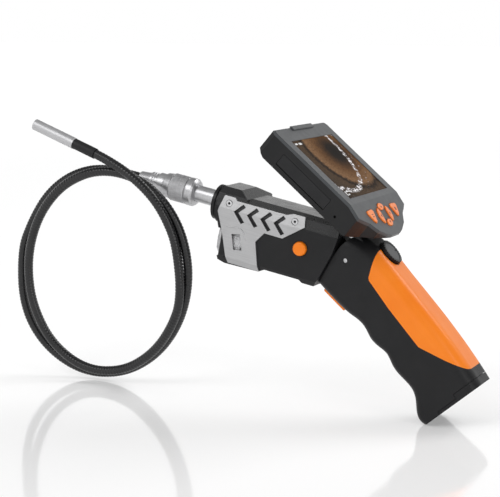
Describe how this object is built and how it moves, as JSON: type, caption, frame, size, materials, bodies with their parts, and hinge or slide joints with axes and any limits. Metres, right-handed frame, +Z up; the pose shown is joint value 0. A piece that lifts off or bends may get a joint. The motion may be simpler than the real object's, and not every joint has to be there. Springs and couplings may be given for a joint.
{
  "type": "inspection camera",
  "caption": "Pistol-grip pipe inspection camera with a tilting screen and keypad, a thumbwheel that turns the probe, and a coiled flexible probe tube ending in a small camera head.",
  "frame": {"origin": "on the ground, under the middle of the tool with its probe tube left out", "axes": "+X from the nose towards the handle's butt, +Y away from the port flap's side, +Z up, standing on the front edge of the butt"},
  "size_m": [0.3674, 0.088, 0.1971],
  "materials": {
    "matte_black": "moulded, fine satin grain",
    "gloss_black": "polished moulding",
    "satin_plate": "brushed plate",
    "bright_metal": "turned and knurled",
    "steel": "bright zinc",
    "brass": "turned",
    "orange": "smooth satin moulding",
    "grey_bezel": "satin grey paint",
    "tube_black": "fine ribbed sheath",
    "soft_black": "soft moulding",
    "lens": "clear",
    "display": "lit display",
    "board": "circuit board",
    "gear": "acetal",
    "cell": "sleeved cell"
  },
  "bodies": {
    "tool_body": {"body_shell_left": "matte_black", "body_shell_right": "matte_black", "top_cover": "gloss_black", "nose_collar": "matte_black", "spindle_bushes": "brass", "spindle_bulkhead": "matte_black", "side_plate_left": "satin_plate", "side_plate_right": "satin_plate", "plate_screws": "steel", "button_board": "board", "main_board": "board", "neck_frame": "matte_black", "wheel_axle": "steel", "handle_shell_left": "matte_black", "handle_shell_right": "matte_black", "grip_insert": "orange", "handle_screws": "steel", "aa_cells": "cell", "cell_contacts": "steel", "dimmer": "matte_black", "hinge_pin": "steel", "hinge_washers": "steel", "trigger_switch": "board"},
    "screen_unit": {"rear_housing": "matte_black", "bezel": "grey_bezel", "screen_window": "lens", "display_panel": "display", "housing_screws": "steel", "hinge_arm": "grey_bezel", "screen_board": "board", "key_mat": "soft_black", "port_sockets": "steel", "front_catch": "grey_bezel"},
    "key_up": {"key_up": "orange"},
    "key_down": {"key_down": "orange"},
    "key_left": {"key_left": "orange"},
    "key_right": {"key_right": "orange"},
    "key_menu": {"key_menu": "orange"},
    "key_enter": {"key_enter": "orange"},
    "port_flap": {"port_flap": "soft_black"},
    "knob": {"knob": "matte_black", "knob_disc": "grey_bezel"},
    "trigger": {"trigger": "orange"},
    "side_button": {"side_button": "orange"},
    "battery_door": {"battery_door": "matte_black"},
    "thumbwheel": {"drive_wheel": "bright_metal", "crown_gear": "gear"},
    "probe": {"spindle": "bright_metal", "spindle_gear": "gear", "spindle_clip": "steel", "ferrule": "bright_metal", "seal_ring": "soft_black", "probe_tube_lead": "tube_black", "probe_coil": "tube_black", "probe_tube_tail": "tube_black", "head_sleeve": "tube_black", "head_barrel": "bright_metal", "head_window": "lens", "led_ring": "board"},
    "union_nut": {"coupling_nut": "bright_metal"}
  },
  "joints": [
    {"name": "screen_tilt", "type": "hinge", "parent": "tool_body", "child": "screen_unit", "pos_m": [0.03934, 0, 0.12503], "axis": [0, 1, 0], "range_deg": [-29, 14]},
    {"name": "key_up_press", "type": "slide", "parent": "screen_unit", "child": "key_up", "axis": [-0.8218, 0, -0.5697], "range_m": [0, 0.0005], "stiffness_N_per_m": 400, "springref_m": -0.0005},
    {"name": "key_down_press", "type": "slide", "parent": "screen_unit", "child": "key_down", "axis": [-0.8218, 0, -0.5697], "range_m": [0, 0.0005], "stiffness_N_per_m": 400, "springref_m": -0.0005},
    {"name": "key_left_press", "type": "slide", "parent": "screen_unit", "child": "key_left", "axis": [-0.8218, 0, -0.5697], "range_m": [0, 0.0005], "stiffness_N_per_m": 400, "springref_m": -0.0005},
    {"name": "key_right_press", "type": "slide", "parent": "screen_unit", "child": "key_right", "axis": [-0.8218, 0, -0.5697], "range_m": [0, 0.0005], "stiffness_N_per_m": 400, "springref_m": -0.0005},
    {"name": "key_menu_press", "type": "slide", "parent": "screen_unit", "child": "key_menu", "axis": [-0.8218, 0, -0.5697], "range_m": [0, 0.0005], "stiffness_N_per_m": 400, "springref_m": -0.0005},
    {"name": "key_enter_press", "type": "slide", "parent": "screen_unit", "child": "key_enter", "axis": [-0.8218, 0, -0.5697], "range_m": [0, 0.0005], "stiffness_N_per_m": 400, "springref_m": -0.0005},
    {"name": "port_flap_open", "type": "hinge", "parent": "screen_unit", "child": "port_flap", "pos_m": [0.01453, -0.04315, 0.15986], "axis": [0.7593, 0, -0.6508], "range_deg": [0, 90]},
    {"name": "knob_turn", "type": "hinge", "parent": "tool_body", "child": "knob", "pos_m": [0.06175, 0, 0.11202], "axis": [0.7694, 0, 0.6388], "range_deg": [0, 270]},
    {"name": "trigger_press", "type": "slide", "parent": "tool_body", "child": "trigger", "axis": [0.6639, 0, 0.7478], "range_m": [0, 0.002], "stiffness_N_per_m": 800, "springref_m": -0.001},
    {"name": "side_button_press", "type": "slide", "parent": "tool_body", "child": "side_button", "axis": [0, 1, 0], "range_m": [0, 0.001], "stiffness_N_per_m": 500, "springref_m": -0.0005},
    {"name": "battery_door_slide", "type": "slide", "parent": "tool_body", "child": "battery_door", "axis": [0.7694, 0, 0.6388], "range_m": [0, 0.03]},
    {"name": "probe_turn", "type": "hinge", "parent": "tool_body", "child": "probe", "pos_m": [-0.07033, 0, 0.14326], "axis": [0.9799, 0, -0.1994], "range_deg": [-160, 160]},
    {"name": "thumbwheel_turn", "type": "hinge", "parent": "tool_body", "child": "thumbwheel", "pos_m": [-0.04396, 0, 0.11238], "axis": [0.1994, 0, 0.9799], "range_deg": [-90, 90]},
    {"name": "union_nut_spin", "type": "hinge", "parent": "probe", "child": "union_nut", "pos_m": [-0.07033, 0, 0.14326], "axis": [0.9799, 0, -0.1994], "continuous": true}
  ],
  "couplings": [
    {"joint": "thumbwheel_turn", "follows": "probe_turn", "ratio": 0.55556}
  ]
}
